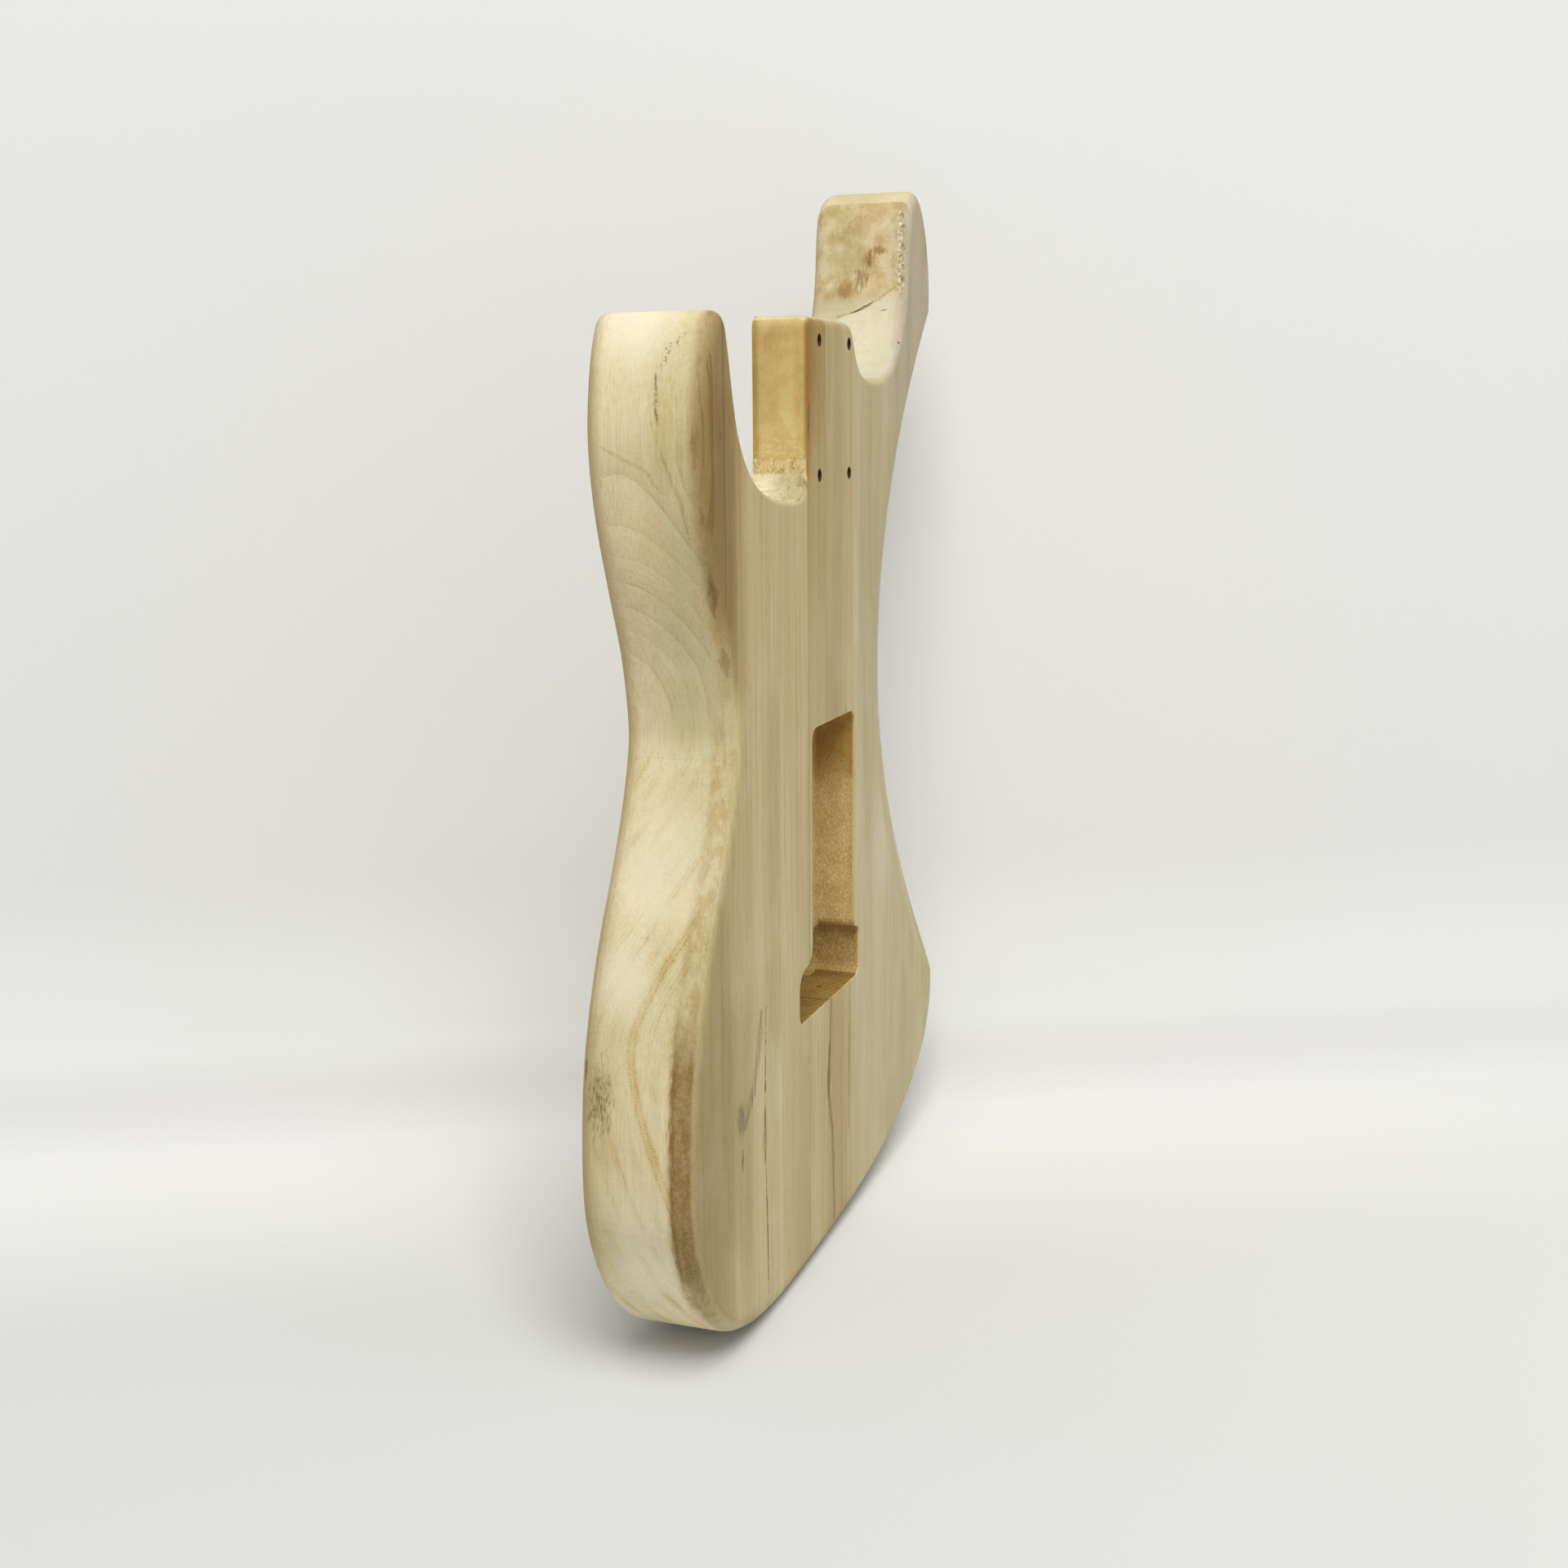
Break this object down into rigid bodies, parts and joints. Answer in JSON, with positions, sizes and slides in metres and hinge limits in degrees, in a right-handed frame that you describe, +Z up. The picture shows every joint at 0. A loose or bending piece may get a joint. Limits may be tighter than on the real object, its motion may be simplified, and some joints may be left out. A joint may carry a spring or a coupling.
{
  "type": "electric guitar body",
  "caption": "Bare solid guitar body glued up from planks, with two horns, a bolt-on neck heel, a back spring cavity with a through slot, and rounded, contoured edges.",
  "frame": {"origin": "on the neck centreline, in the middle of the slab's thickness, level with the lowest point of the butt", "axes": "+Z up from the butt towards the neck, -Y out of the back face, +Y out of the front face, +X towards the bass side"},
  "size_m": [0.3181, 0.0444, 0.4405],
  "materials": {
    "wood_treble_wing": "raw sanded",
    "wood_treble_plank": "raw sanded",
    "wood_heel_strip": "raw sanded",
    "wood_centre_plank": "raw sanded",
    "wood_bass_plank": "raw sanded",
    "wood_bass_wing": "raw sanded"
  },
  "bodies": {
    "root": {"treble_horn_wing": "wood_treble_wing", "treble_bout_wing": "wood_treble_wing", "treble_outer_plank": "wood_treble_plank", "treble_inner_plank": "wood_treble_plank", "heel_strip": "wood_heel_strip", "heel_strip_tail": "wood_heel_strip", "centre_plank": "wood_centre_plank", "centre_plank_tail": "wood_centre_plank", "bass_inner_plank": "wood_bass_plank", "bass_outer_plank": "wood_bass_plank", "bass_horn_wing": "wood_bass_wing", "bass_bout_wing": "wood_bass_wing"}
  },
  "joints": []
}
